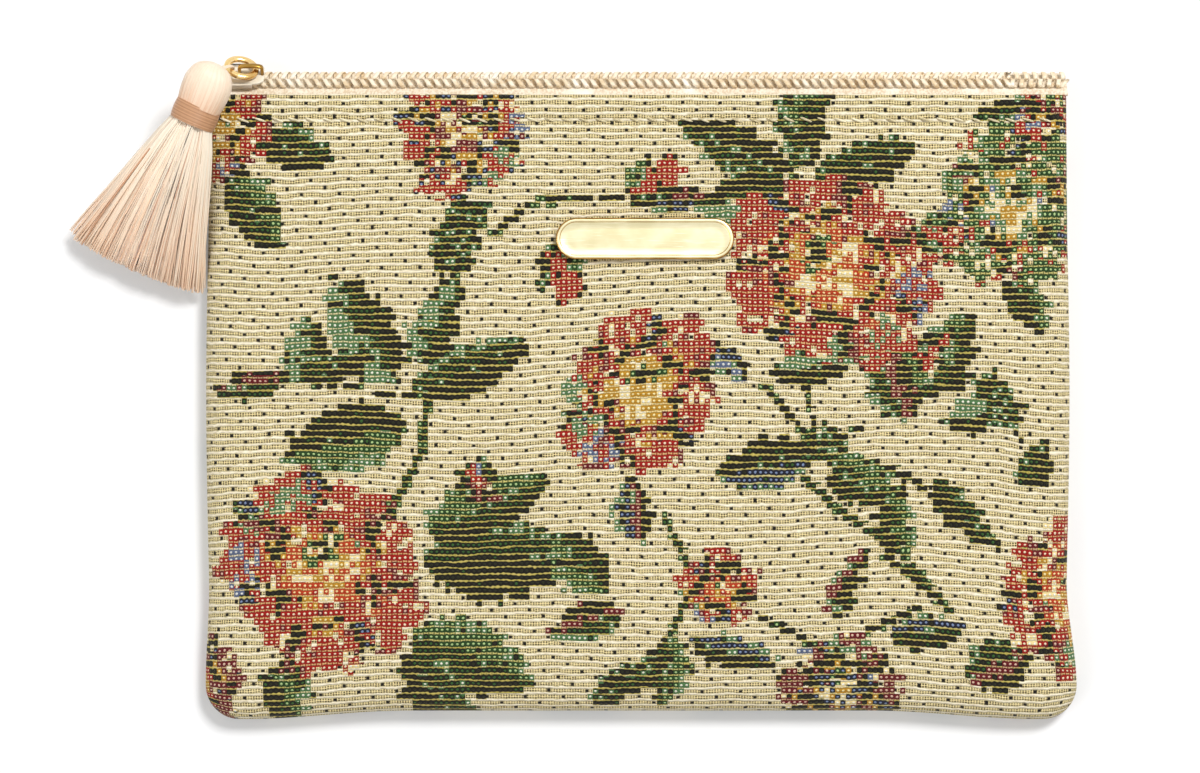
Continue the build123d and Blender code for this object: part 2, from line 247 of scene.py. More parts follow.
# Pattern of a cloth: which yarn shows at each cell, from fields of simple shapes
class Weave:
    def __init__(self, across, along, seed, rows):
        # where each cell lies, in mm; a figure's cells are two threads wide and one rib high
        self.show = np.zeros(across.shape, dtype=np.int8)
        self.rng = np.random.default_rng(seed)
        pair = np.arange(across.shape[1]) // 2 * 2
        self.x, self.y = across[:, pair], along
        self.rows = rows
        self.rough = self.scatter(2)
        self.jag = (self.scatter(6) - 0.5) * 1.5 + (self.scatter(14) - 0.5) * 0.8

    # Chance values that hold for a number of threads along one rib
    def scatter(self, threads):
        tall, wide = self.show.shape
        coarse = self.rng.random((tall // self.rows + 1, wide // threads + 1))
        return np.repeat(np.repeat(coarse, self.rows, axis=0), threads, axis=1)[:tall, :wide]

    def put(self, where, name, share=1.0):
        self.show[where & (self.rough < share)] = yarn[name]
        if share < 1.0:
            self.rough = np.roll(self.rough, (3 * self.rows, 6), axis=(0, 1))

    def local(self, place, turn):
        c, s = math.cos(math.radians(turn)), math.sin(math.radians(turn))
        dx, dy = self.x - place[0] + self.jag, self.y - place[1]
        return dx * c + dy * s, dy * c - dx * s

    # A saw-edged leaf from its foot, darker on its lower half, with a pale midrib
    def leaf(self, place, length, width, turn, dark="forest", light="moss", tip="black"):
        u, v = self.local(place, turn)
        t = u / length
        inside = (t > 0) & (t < 1)
        t = np.clip(t, 0, 1)
        edge = width / 2 * np.sin(np.pi * t ** 0.8) ** 0.75 * (0.84 + 0.2 * ((t * 5.5 + 0.25) % 1.0))
        body = inside & (np.abs(v) < edge)
        self.put(body, light)
        self.put(body & (v < edge * 0.12 + 0.25 * np.sin(t * 21)), dark)
        self.put(body & (v < -edge * 0.42), tip, 0.8)
        self.put(body & (v > edge * 0.62), "sage", 0.55)
        veins = np.abs((np.abs(v) * 0.8 - u) % (length / 4.2)) < 0.42
        self.put(body & veins, tip if dark != "black" else "forest", 0.85)
        self.put(body & (np.abs(v) < 0.3) & (t < 0.8), "sage", 0.4)

    # A stem along straight runs between points
    def stem(self, points, width=0.75, name="black", share=0.92):
        for (ax, ay), (bx, by) in zip(points, points[1:]):
            lx, ly = bx - ax, by - ay
            t = np.clip(((self.x - ax) * lx + (self.y - ay) * ly) / (lx * lx + ly * ly), 0, 1)
            gap = np.hypot(self.x - ax - t * lx, self.y - ay - t * ly)
            self.put(gap < width, "moss", 0.6)
            self.put(gap < width * 0.72, name, share)

    # A petal from the flower's middle outwards, with a darker rim and a lighter foot
    def petal(self, place, length, width, turn, outer="red", inner="rust", rim="maroon"):
        u, v = self.local(place, turn)
        t = u / length
        inside = (t > 0.05) & (t < 1.05)
        t = np.clip(t, 0, 1)
        edge = width / 2 * np.sqrt(np.clip(t * 1.35, 0, 1)) * np.sqrt(np.clip(1.06 - t ** 5, 0, 1))
        notch = 0.06 * length * (np.cos(v / width * 9.0) + 0.6)
        body = inside & (np.abs(v) < edge) & (u < length - notch)
        self.put(body, outer)
        self.put(body & (np.abs(v) < edge * 0.55) & (t < 0.62), inner, 0.75)
        self.put(body & (np.abs(np.abs(v) - edge * 0.93) < 0.5), rim, 0.7)
        self.put(body & (v < -edge * 0.72) & (t > 0.3) & (t < 0.85), "black", 0.55)
        self.put(body & (v > edge * 0.3) & (t > 0.55), "cream", 0.2)
        self.put(body & (t > 0.45), "ground", 0.09)
        self.put(body & (t < 0.5) & (v > edge * 0.4), "sage" if outer == "red" else "slate", 0.25)
        streak = np.abs((v + 0.35 * np.sin(u * 0.9)) % (width / 3.1) - width / 6.2) < 0.3
        self.put(body & streak & (t > 0.35) & (t < 0.8), rim, 0.5)

    # An open rose: two rounds of petals, black gaps between them, a pale full middle
    def rose(self, place, size, turn, petals=6, outer="red", inner="rust", rim="maroon", cool=200):
        u, v = self.local(place, turn)
        far, angle = np.hypot(u, v), np.arctan2(v, u)
        for i in range(petals):
            a = turn + 360 * (i + 0.5) / petals
            self.petal(place, size * (1.02 + 0.11 * math.sin(2.1 * i + size)), size * 0.84, a, outer, inner, rim)
        shade = (angle - math.radians(cool)) % math.tau
        self.put((far < size * 0.9) & (far > size * 0.5) & (shade < 1.0), "sage", 0.5)
        self.put((far < size * 0.95) & (far > size * 0.55) & (shade > 1.1) & (shade < 1.7), "slate", 0.4)
        for i in range(petals):  # dark folds between the outer petals
            a = math.radians(360 * i / petals)
            beside = ((angle - a + math.pi) % math.tau - math.pi) * far
            fold = (far > size * 0.5) & (far < size * (0.86 + 0.08 * math.sin(3.0 * i)))
            self.put((np.abs(beside) < 0.75) & fold, "black", 0.85)
            lee = (beside > 0.7) & (beside < 2.0) & (far > size * 0.6) & (far < size * 0.9)
            self.put(lee, "navy" if i % 2 else "maroon", 0.6)
        for i in range(petals - 1):
            a = turn + 24 + 360 * i / (petals - 1)
            self.petal(place, size * 0.66, size * 0.62, a, outer, "gold", rim)
        ring = np.abs(far - size * (0.5 + 0.05 * np.sin(angle * 5 + 1.0)))
        self.put((ring < 0.85) & (np.sin(angle * (petals - 1) + turn) > -0.25), "black", 0.9)
        self.put((ring > 0.85) & (ring < 1.5) & (np.sin(angle * 3 + turn) > 0.2), "gold", 0.6)
        self.put(far < size * (0.36 + 0.05 * np.sin(angle * 7)), inner, 0.9)
        self.put((far < size * 0.31) & (np.sin(angle * 4 + far * 0.9) > 0.1), "cream", 0.9)
        self.put((far < size * 0.22) & (np.sin(angle * 3 - far * 1.6) > 0.35), "gold", 0.9)
        eye = np.hypot(u - size * 0.1, (v - size * 0.16) * 1.7)
        self.put(eye < size * 0.13, "black", 0.8)
        self.put((eye < size * 0.2) & (eye > size * 0.13) & (v > 0), "moss", 0.8)

    # A closed bud on its green cup
    def bud(self, place, size, turn, outer="maroon"):
        self.leaf(place, size * 0.9, size * 0.55, turn + 30, "forest", "moss")
        self.leaf(place, size * 0.9, size * 0.5, turn - 32, "forest", "sage")
        self.petal(place, size * 1.25, size * 0.7, turn, outer, "red", "black")

    # A fern-like spray: a stem with pairs of narrow leaflets
    def spray(self, place, size, turn, count=6):
        c, s = math.cos(math.radians(turn)), math.sin(math.radians(turn))
        self.stem([place, (place[0] + size * c, place[1] + size * s)], 0.5)
        for i in range(count):
            t = 0.25 + 0.75 * i / count
            at = (place[0] + size * t * c, place[1] + size * t * s)
            for side in (-1, 1):
                self.leaf(at, size * (0.44 - 0.2 * t), size * 0.13, turn + side * 48, "black", "forest")


# Roses, leaves and stems set out over the cloth; places in mm from the pouch's middle
def drawMotifs(weave, shift=(0.0, 0.0)):
    def at(x, y):
        return (x + shift[0], y + shift[1])

    # stems first, so that leaves and flowers lie over them
    for width, name, *points in (
            (0.7, "black", (-3, 34), (-17, 33), (-27, 26), (-33, 17)), (0.5, "black", (-23, 28), (-31, 31)),
            (0.9, "forest", (-33, 17), (-35, -6), (-40, -16)), (0.6, "black", (-35, 2), (-52, 4), (-64, 6)),
            (0.8, "forest", (25, -10), (32, -17), (43, -25), (50, -33)),
            (0.75, "black", (43, -12), (40, -25), (49, -32)),
            (0.7, "black", (20, 3), (28, -6), (43, -12), (58, -22)),
            (0.6, "black", (29, -6), (26, 6), (20, 14)), (0.7, "forest", (4, -18), (9, -27), (3, -42)),
            (0.7, "black", (20, -34), (30, -40), (45, -33)), (0.7, "black", (29, 50), (25, 38), (28, 27))):
        weave.stem([at(*point) for point in points], width, name)
    # leaves
    for x, y, length, width, lean, dark, light in (
            (-62, 44, 13, 8, -18, "black", "forest"), (-67, 38, 15, 9, -52, "forest", "moss"),
            (-40, 4, 20, 12, 118, "forest", "sage"), (-38, -2, 21, 12, 196, "black", "moss"),
            (-36, 3, 20, 8.5, 24, "black", "forest"), (-36, 8, 15, 8, 62, "forest", "sage"),
            (-55, 4, 12, 7, 82, "forest", "sage"), (-54, 5, 12, 5.5, 20, "black", "forest"),
            (-57, 5, 12, 5.5, 190, "maroon", "forest"),
            (-35, -25, 26, 15, 2, "black", "forest"), (-35, -20, 23, 10, 24, "forest", "moss"),
            (-37, -37, 22, 13, -22, "forest", "moss"), (-38, -40, 19, 10, -52, "black", "forest"),
            (-56, -40, 13, 8, -100, "maroon", "forest"), (-60, -42, 12, 6, -64, "black", "moss"),
            (24, 37, 20, 9, 152, "black", "forest"), (26, 34, 18, 9, 188, "forest", "sage"),
            (27, 38, 17, 8, 96, "black", "forest"), (29, 36, 18, 9, 22, "black", "forest"),
            (25, 44, 13, 7, 62, "forest", "moss"), (45, 1, 17, 11, 58, "forest", "moss"),
            (43, -3, 15, 9, 108, "maroon", "forest"), (49, -3, 14, 7, 14, "black", "sage"),
            (28, -8, 16, 9, -168, "black", "navy"), (30, -9, 15, 8, -34, "forest", "moss"),
            (47, -13, 15, 6, -42, "black", "forest"), (40, -14, 13, 6, -76, "forest", "moss"),
            (22, 5, 13, 6, 8, "black", "sage"), (18, 4, 11, 5, 148, "navy", "slate"),
            (-6, -30, 13, 9, 128, "forest", "moss"), (-3, -33, 12, 7, 200, "maroon", "forest"),
            (5, -37, 12, 8, -96, "forest", "moss"), (8, -38, 15, 6, -14, "black", "navy"),
            (0, -22, 11, 6, 100, "maroon", "navy"), (31, -35, 13, 5, 64, "black", "maroon"),
            (40, -38, 13, 6, 12, "forest", "navy"), (52, -44, 14, 8, 30, "maroon", "forest"),
            (63, -13, 9, 6, 70, "black", "forest"), (60, 22, 12, 7, -62, "black", "moss"),
            (10, 34, 10, 5, 190, "maroon", "navy"), (-8, -48, 15, 6, 30, "forest", "black"),
            (66, 47, 11, 7, 180, "forest", "moss"), (-66, -16, 10, 7, -20, "black", "navy")):
        weave.leaf(at(x, y), length, width, lean, dark, light)
    for x, y, size, lean in ((-33, 18, 16, 70), (36, -4, 11, 200), (62, -6, 12, 120)):
        weave.spray(at(x, y), size, lean)
    # flowers
    for x, y, size, lean, petals, outer, inner, rim, cool in (
            (0, 2, 13.6, 12, 6, "red", "gold", "maroon", 150), (-51, -26, 17.0, 40, 7, "red", "rust", "maroon", 60),
            (31, 22, 17.4, 75, 7, "red", "rust", "maroon", 190), (61, 33, 13.5, 20, 6, "moss", "sage", "red", 90),
            (70, -30, 12.5, 0, 6, "red", "rust", "maroon", 250), (-29, 45, 11.5, -20, 6, "red", "maroon", "navy", 300),
            (32, -46, 9.5, 30, 6, "maroon", "navy", "black", 20), (13, -29, 6.6, 50, 5, "red", "rust", "maroon", 120),
            (-69, 46, 9.5, 10, 5, "red", "gold", "maroon", 200), (-73, -44, 10.0, 60, 5, "maroon", "red", "navy", 40),
            (68, 51, 8.0, 200, 5, "red", "maroon", "black", 300)):
        weave.rose(at(x, y), size, lean, petals, outer, inner, rim, cool)
    for x, y, size, lean in ((-14, 26, 8, -70), (-2, 34, 8.5, 30), (-28, -8, 7, -60),
                             (45, 29, 7, -10), (50, 12, 6.5, 240)):
        weave.bud(at(x, y), size, lean, "red" if x > -20 else "maroon")


clothLook = {"wander": 0.7, "jitter": 0.28, "strip": 0.31, "figureStrip": 0.06, "uneven": 0.14, "bead": 0.04,
             "ovalWide": 0.26, "ovalHigh": 0.17, "dotWide": 0.4, "dotHigh": 0.11, "dotRow": 0.14,
             "pinSlant": 5.4, "pinEvery": 14.3, "pinShade": "#14100A", "dust": "#C9AE78",
             "relief": 0.9, "depth": 0.0003, "sheen": 0.12, "sheenTint": "#FFF4DC", "specular": 0.25}


# Ribbed jacquard: tie lines between strips of dots or flecks, worked in rib and thread units
def tapestryMaterial():
    mat, tree, shader = newMaterial("tapestry")
    look = clothLook
    add, less, times, over = sums(tree, "ADD", "SUBTRACT", "MULTIPLY", "DIVIDE")
    threads = addNode(tree, "ShaderNodeUVMap", uv_map="threads").outputs[0]
    apart = feed(tree, addNode(tree, "ShaderNodeSeparateXYZ"), ((0, threads),))
    thread, rib = apart.outputs[0], apart.outputs[1]

    def threadNoise(across, along, detail):
        return noise(tree, threads, 1.0, detail, None, (across, along, 1))

    def away(value):  # distance from the middle of a cell or rib
        return mathNode(tree, "ABSOLUTE", less(value, 0.5))

    def dotShare(across, wide, along, high, low, top):  # a soft dot
        across, along = over(across, wide), over(along, high)
        return less(1.0, stepBetween(tree, add(times(across, across), times(along, along)), low, top))

    wander = threadNoise(0.09, 0.45, 2.0)
    wave = add(times(less(wander, 0.5), look["wander"]), times(less(threadNoise(0.55, 0.9, 1.0), 0.5), look["jitter"]))
    ribHere = add(rib, wave)
    phase, number = mathNode(tree, "FRACT", ribHere), mathNode(tree, "FLOOR", ribHere)
    offLine = away(phase)
    yarnShade, fleckShade, tieShade = (attribute(tree, name, "Color") for name in ("yarn", "fleck", "tie"))
    crossing, figure = attribute(tree, "tie", "Alpha"), attribute(tree, "figure")

    # half height of the strip: a little over half a rib on the ground, more in the figures
    cell = mathNode(tree, "FRACT", times(add(thread, times(less(wander, 0.5), 0.5)), 0.5))
    reach = add(times(figure, look["figureStrip"]), look["strip"])
    reach = add(reach, times(less(threadNoise(0.3, 0.9, 1.0), 0.5), look["uneven"]))
    bead = mathNode(tree, "COSINE", times(less(cell, 0.5), math.tau))
    reach = add(reach, times(times(bead, figure), look["bead"]))
    tieLine = stepBetween(tree, offLine, less(reach, 0.05), add(reach, 0.05))

    # ovals in the figures, two threads apart, and small dots on the ground, one thread apart
    oval = dotShare(less(cell, 0.5), look["ovalWide"], less(phase, 0.5), look["ovalHigh"], 0.6, 1.15)
    dot = dotShare(less(mathNode(tree, "FRACT", thread), 0.5), look["dotWide"],
                   less(offLine, look["dotRow"]), look["dotHigh"], 0.5, 1.3)
    dot = times(dot, add(times(stepBetween(tree, threadNoise(0.8, 1.0, 1.0), 0.38, 0.6), 0.35), 0.65))
    flecks = add(times(oval, figure), times(dot, less(1.0, figure)))
    strip = mixColour(tree, flecks, yarnShade, fleckShade)

    # the slanted lattice of black pin dots on the ground
    lattice = mathNode(tree, "FRACT", over(add(thread, times(number, look["pinSlant"])), look["pinEvery"]))
    pin = less(1.0, stepBetween(tree, away(lattice), 0.034, 0.056))
    pin = times(times(pin, less(1.0, stepBetween(tree, offLine, 0.2, 0.29))), less(1.0, figure))
    strip = mixColour(tree, pin, strip, colour(look["pinShade"]))

    # uneven dye, the strip's yarn where it crosses the tie line, and painted shade in the groove between the two
    line = mixColour(tree, stepBetween(tree, threadNoise(0.5, 1.2, 2.0), 0.3, 0.75), tieShade,
                     mixColour(tree, 0.35, tieShade, colour(look["dust"])))
    line = mixColour(tree, times(stepBetween(tree, away(cell), 0.3, 0.42), crossing), line, yarnShade)
    # painted shade: the cloth colour is darkened where the tie line meets the strip
    paintedGrooveShade = stepBetween(tree, mathNode(tree, "ABSOLUTE", less(offLine, reach)), 0.0, 0.1)
    cloth = mixColour(tree, 1.0, mixColour(tree, tieLine, strip, line), add(times(paintedGrooveShade, 0.45), 0.55), "MULTIPLY")

    # relief: round lines and strips, proud ovals, sunk dots, fibre
    lineHeight = times(tieLine, less(1.0, times(less(0.5, offLine), 2.2)))
    stripHeight = times(less(1.0, tieLine), less(1.0, times(offLine, 1.6)))
    height = add(times(lineHeight, 0.9), times(stripHeight, 0.8))
    height = add(height, times(times(oval, figure), 0.3))
    height = less(height, times(add(dot, pin), 0.3))
    height = add(height, times(threadNoise(2.6, 3.5, 2.0), 0.35))
    effect = {"Color": cloth, "Roughness": add(times(tieLine, -0.12), 0.86), "Height": height}
    finishWith(tree, shader, effect, look["relief"], look["depth"], **{
        "Sheen Weight": look["sheen"], "Sheen Roughness": 0.5, "Sheen Tint": colour(look["sheenTint"]),
        "Specular IOR Level": look["specular"]})
    return mat


pouch = {"halfWidth": 70.3, "mouthY": 50.86, "bottomY": -49.7, "cornerDrop": 1.4, "cornerRadius": 5.6,
         "flareLeft": 0.8, "flareRight": 1.9, "seamZ": 2.1, "crownZ": 7.75, "threadsAcross": 342,
         "ribPitch": 1.117, "rowsPerRib": 3, "ribRelief": 0.2, "rise": 5.65, "sideReach": 12.0, "endReach": 24.0,
         "endPower": 3.1, "foldRadius": 0.52, "foldTop": 0.55, "hem": (1.2, 2.6, 4.2, 5.8)}
backSet = {"across": 270, "rows": 200, "reach": 3.0, "power": 2.2, "lift": 0.04, "rowsPerRib": 2,
           "motifShift": (9.0, -6.0)}


# Half width of the sewn outline at a height on the page; the lower end flares a little
def outlineX(y, side):
    flare = pouch["flareLeft"] if side < 0 else pouch["flareRight"]
    low = np.clip((-28.0 - y) / 18.0, 0, 1)
    low = low * low * (3 - 2 * low)
    bow = 0.35 * np.cos((y - 2) / 50 * math.pi)
    return side * (pouch["halfWidth"] + flare * low + bow)


# The lower edge, which hangs a little lower at both corners
def outlineBottom(x):
    t = np.clip((np.abs(x) - 38.0) / 27.0, 0, 1)
    return pouch["bottomY"] - pouch["cornerDrop"] * t * t * (3 - 2 * t)


# Points of a square-cornered field drawn in to the rounded lower corners
def roundCorners(x, y):
    radius = pouch["cornerRadius"]
    for side in (-1, 1):
        cx = outlineX(np.array(-47.0), side) - side * radius
        cy = pouch["bottomY"] - pouch["cornerDrop"] + radius
        qx, qy = (x - cx) * side / radius, (cy - y) / radius
        corner = (qx > 0) & (qy > 0)
        qx, qy = np.clip(qx, 0, 1), np.clip(qy, 0, 1)
        x = np.where(corner, cx + side * radius * qx * np.sqrt(1 - qy * qy / 2), x)
        y = np.where(corner, cy - radius * qy * np.sqrt(1 - qx * qx / 2), y)
    return x, y


# Share of the crown's height at a distance in from the seam
def crownShare(distance, reach, power):
    left = np.clip(1 - distance / reach, 0, 1)
    return (1 - left ** power) ** (1 / power)


# Distances from the seam, spaced evenly along the curved side and the flat that follows
def evenSteps(length, reach, rise, power, count):
    fine = np.concatenate([np.linspace(0, 1, 400) ** 2.5 * reach, np.linspace(reach, length, 200)[1:]])
    run = np.concatenate([[0], np.cumsum(np.hypot(np.diff(fine), np.diff(rise * crownShare(fine, reach, power))))])
    return np.interp(np.linspace(0, run[-1], count), run, fine)


# A cloth of even faces; place gives the points in mm, weave the pattern of its cells
def clothMesh(name, across, along, place, weave, threadsAcross, ribsAlong, bodyName, mat, *replaced):
    bm = bmesh.new()
    bmesh.ops.create_grid(bm, x_segments=across, y_segments=along, size=1.0)
    uvLayer = bm.loops.layers.uv.new("threads")
    for face in bm.faces:
        face.smooth = True
        for loop in face.loops:
            co = loop.vert.co
            loop[uvLayer].uv = ((co.x + 1) / 2 * threadsAcross, (co.y + 1) / 2 * ribsAlong)
    mesh = toMesh(bm, name, mat)
    mesh.vertices.foreach_set("co", (place.reshape(-1, 3) * mm).astype(np.float32).ravel())
    shown = weave.show.ravel()
    for column, layer in enumerate(("yarn", "fleck", "tie")):
        data = np.ones((shown.size, 4), dtype=np.float32)
        data[:, :3] = yarnTable[shown, column]
        if layer == "tie":
            data[:, 3] = crossTable[shown]
        mesh.attributes.new(layer, "FLOAT_COLOR", "FACE").data.foreach_set("color", data.ravel())
    mesh.attributes.new("figure", "FLOAT", "FACE").data.foreach_set("value", (shown > 0).astype(np.float32))
    mesh.update()
    return toPiece(mesh, bodyName, replaced)


# The sewn outline as a field: columns from side to side, rows from the lower edge up to the top
def sewnField(across, ups, top, *sideSteps):
    half = pouch["halfWidth"]
    inFrom = half - evenSteps(half, *sideSteps, across // 2 + 1)
    xs = np.concatenate([-inFrom, inFrom[::-1][1:]])
    t = (xs / half)[None, :]
    upShare = (ups / (top - pouch["bottomY"]))[:, None]
    low = outlineBottom(t * 71.5)
    y = low + (top - low) * upShare
    x = t * np.where(t < 0, -outlineX(y, -1), outlineX(y, 1))
    return xs, x, y, upShare, (half - np.abs(xs))[None, :] + 0 * upShare, ups[:, None] + 0 * t


# Slow undulation of sewn cloth, from a few crossing waves
def softWaves(x, y):
    return (np.sin(x / 17.0 + y / 29.0 + 0.6) + 0.8 * np.sin(x / 9.5 - y / 13.0 + 2.1)
            + 0.6 * np.sin(y / 7.3 + x / 31.0) + 0.5 * np.sin(x / 6.1 + y / 8.7 + 4.0)) / 2.9


topstitch = {"y": 46.6, "pitch": 2.77, "first": -66.9, "last": 68.6, "length": 2.2, "width": 0.4, "lean": -0.33}


# The front: crowned cloth from the seam all round up to the turned hem at the mouth
def makeFrontCloth(mat):
    across, perRib = pouch["threadsAcross"], pouch["rowsPerRib"]
    top = pouch["mouthY"] - pouch["foldTop"]
    length = top - pouch["bottomY"]
    rowCount = int(round((length + 3.0) / (pouch["ribPitch"] / perRib)))
    ups = evenSteps(length, pouch["endReach"], pouch["rise"], pouch["endPower"], rowCount + 1)
    xs, xSquare, ySquare, upShare, fromSide, fromEnd = sewnField(
        across, ups, top, pouch["sideReach"], pouch["rise"], 3.0)
    # rows run straight at the mouth and follow the lower edge's bow at the bottom
    inner = np.sin(np.clip(upShare, 0, 1) * math.pi) * np.clip(fromSide / pouch["sideReach"], 0, 1)
    sway = 0.75 * np.sin(xSquare / 21.0 + ySquare / 24.0) + 0.45 * np.sin(xSquare / 9.0 - ySquare / 17.0 + 1.3)
    x, y = roundCorners(xSquare, ySquare + inner * sway)
    sidePower = 2.7 + 2.0 * np.clip((ySquare - 28.0) / 18.0, 0, 1)
    share = crownShare(fromSide, pouch["sideReach"], sidePower)
    share = share * crownShare(fromEnd, pouch["endReach"], pouch["endPower"])
    sink = 0.75 * np.clip((ySquare - 40.0) / 11.0, 0, 1) ** 1.5
    z = pouch["seamZ"] + (pouch["crownZ"] - sink - pouch["seamZ"]) * share
    z = z + 0.2 * softWaves(xSquare, ySquare) * inner - 0.25 * inner
    # rib relief and the dimples that the topstitches pull
    phase = (np.arange(rowCount + 1) / perRib) % 1.0
    z = z + pouch["ribRelief"] * (np.cos((phase - 0.5) * math.tau)[:, None] * 0.5 - 0.25) * share
    stitchPhase = ((x - topstitch["first"]) / topstitch["pitch"]) % 1.0
    near = np.exp(-((y - topstitch["y"]) / 0.8) ** 2)
    z = z - near * (0.22 + 0.2 * np.cos(stitchPhase * math.tau)) * share
    z = z + 0.18 * np.exp(-((y - 49.6) / 1.1) ** 2) * share
    # the turned hem: the fold, then the return inside
    fold = [(math.radians(a), 0.0) for a in (36, 72, 108, 144, 180)] + [(math.pi, back) for back in pouch["hem"]]
    rows = rowCount + len(fold)
    place = np.zeros((rows + 1, across + 1, 3))
    place[:rowCount + 1] = np.stack([x, y, z], axis=-1)
    for i, (angle, back) in enumerate(fold, rowCount + 1):
        drop = pouch["foldRadius"] * (1 - math.cos(angle)) + 0.02 * back
        place[i] = np.stack([x[-1], y[-1] + pouch["foldRadius"] * math.sin(angle) - back,
                             np.maximum(z[-1] - drop, 1.9)], axis=-1)
    # the pattern is worked at one cell a thread and one a rib, so strips never break mid-rib
    ribOfRow = (np.arange(rows) // perRib * perRib + 1).clip(0, rowCount)
    cellX = (xs[:-1] + xs[1:])[None, :] / 2 + 0 * ribOfRow[:, None]
    cellY = np.interp(ribOfRow, np.arange(rowCount + 1), ups)[:, None] + pouch["bottomY"] + 0 * cellX
    weave = Weave(cellX, cellY, 11, perRib)
    drawMotifs(weave)
    piece = clothMesh("front_cloth", across, rows, place, weave, across, rows / perRib, "pouch", mat, "front_panel")
    print("front cloth", across, "x", rows, "cells")


# The back: the same cloth, flat where the pouch rests and turned up at the seam
def makeBackCloth(mat):
    across, rows, reach, power = (backSet[key] for key in ("across", "rows", "reach", "power"))
    length = pouch["mouthY"] - pouch["bottomY"]
    ups = evenSteps(length, reach, pouch["seamZ"], power, rows + 1)
    xs, x, y, _, fromSide, fromEnd = sewnField(across, ups, pouch["mouthY"], reach, pouch["seamZ"], power)
    x, y = roundCorners(x, y)
    share = crownShare(fromSide, reach, power) * crownShare(fromEnd, reach, power)
    z = pouch["seamZ"] * (1 - share) + backSet["lift"] + 0.05 * softWaves(x, y) * share
    cellX = -(xs[:-1] + xs[1:])[None, :] / 2 + 0 * ups[:-1, None]
    cellY = (ups[:-1] + ups[1:])[:, None] / 2 + pouch["bottomY"] + 0 * cellX
    weave = Weave(cellX, cellY, 12, backSet["rowsPerRib"])
    drawMotifs(weave, backSet["motifShift"])
    piece = clothMesh("back_cloth", across, rows, np.stack([x, y, z], axis=-1), weave, pouch["threadsAcross"],
                      length / pouch["ribPitch"], "pouch", mat, "back_panel")
    piece.data.flip_normals()
    print("back cloth", across, "x", rows, "cells")


tapestry = tapestryMaterial()
makeFrontCloth(tapestry)
makeBackCloth(tapestry)


def giveOut(group, out, tone, roughness, height):
    for name, made in (("Color", tone), ("Roughness", roughness), ("Height", height)):
        group.links.new(made, out[name])
    return group


surfaceMade = (("Color", "Color"), ("Roughness", "Float"), ("Height", "Float"))
white = (1.0, 1.0, 1.0, 1.0)


# Twisted yarn: fine bands along one direction and an uneven tone
def makeYarnGrain():
    group, given, out = newGroup("yarn_grain", (
        ("Base", "Color", white), ("Shade", "Color", white), ("Light", "Color", white), ("Turn", "Vector", (0, 0, 0)),
        ("Fineness", "Vector", (1000, 1000, 1000)), ("Gloss", "Float", 0.4)), surfaceMade)
    add, times = sums(group, "ADD", "MULTIPLY")
    where = addNode(group, "ShaderNodeTexCoord").outputs["Object"]
    fine = noise(group, where, 1.0, 3.0, given["Turn"], given["Fineness"])
    tone = mixColour(group, stepBetween(group, fine, 0.36, 0.62), given["Shade"], given["Base"])
    tone = mixColour(group, stepBetween(group, noise(group, where, 160.0, 2.0), 0.5, 0.72), tone, given["Light"])
    return giveOut(group, out, tone, add(times(fine, 0.2), given["Gloss"]), fine)


# Plated metal: slow clouding, hair scratches and a paler tone where it is rubbed
def makeMetalWear():
    group, given, out = newGroup("metal_wear", (
        ("Base", "Color", white), ("Deep", "Color", white), ("Pale", "Color", white),
        ("Gloss", "Float", 0.2), ("Scratch", "Float", 0.03)), surfaceMade)
    add, times = sums(group, "ADD", "MULTIPLY")
    where = addNode(group, "ShaderNodeTexCoord").outputs["Object"]
    cloud = noise(group, where, 220.0, 4.0)
    hair = noise(group, where, 1.0, 2.0, (0, 0, 0.3), (260, 5200, 2600))
    tone = mixColour(group, stepBetween(group, cloud, 0.35, 0.65), given["Deep"], given["Base"])
    tone = mixColour(group, stepBetween(group, hair, 0.55, 0.8), tone, given["Pale"])
    return giveOut(group, out, tone, add(add(times(cloud, 0.16), given["Gloss"]), times(hair, given["Scratch"])), hair)


# Rayon floss: each strand its own tone, paler by the band, with painted shade on the strands between locks
def makeFloss():
    group, given, out = newGroup("silk_floss", (
        ("Bright", "Color", white), ("Deep", "Color", white), ("Dark", "Color", white)), surfaceMade)
    add, times = sums(group, "ADD", "MULTIPLY")
    tint, along = attribute(group, "tint"), attribute(group, "along")
    fibre = noise(group, addNode(group, "ShaderNodeTexCoord").outputs["Object"], 1400.0, 3.0)
    fade = add(times(along, 0.56), times(tint, 0.55))
    tone = mixColour(group, stepBetween(group, fade, 0.1, 1.15), given["Bright"], given["Deep"])
    # strands with the highest tint take the painted shade of the gaps between locks
    tone = mixColour(group, stepBetween(group, tint, 0.86, 1.0), tone, given["Dark"])
    tone = mixColour(group, times(fibre, 0.25), tone, given["Bright"])
    return giveOut(group, out, tone, add(times(fibre, 0.2), 0.3), fibre)


yarnGrain, metalWear, floss = makeYarnGrain(), makeMetalWear(), makeFloss()


# A material from one of the groups: what the group is given, then the relief and the shader's constants
def groupMaterial(name, group, given, relief, depth, **constants):
    mat, tree, shader = newMaterial(name)
    finishWith(tree, shader, placeGroup(tree, group, **given), relief, depth, **constants)
    return mat


def threadMaterial(name, base, shade, light, turned, fineness, rough=0.45, sheen=0.3, depth=0.0001):
    given = {"Base": colour(base), "Shade": colour(shade), "Light": colour(light), "Turn": turned,
             "Fineness": fineness, "Gloss": rough - 0.1}
    return groupMaterial(name, yarnGrain, given, 0.6, depth, **{"Sheen Weight": sheen, "Sheen Roughness": 0.4})


def metalMaterial(name, base, deep, pale, rough, scratch, relief=0.25, metallic=1.0):
    given = {"Base": colour(base), "Deep": colour(deep), "Pale": colour(pale), "Gloss": rough - 0.08,
             "Scratch": scratch}
    return groupMaterial(name, metalWear, given, relief, 0.00003, Metallic=metallic)


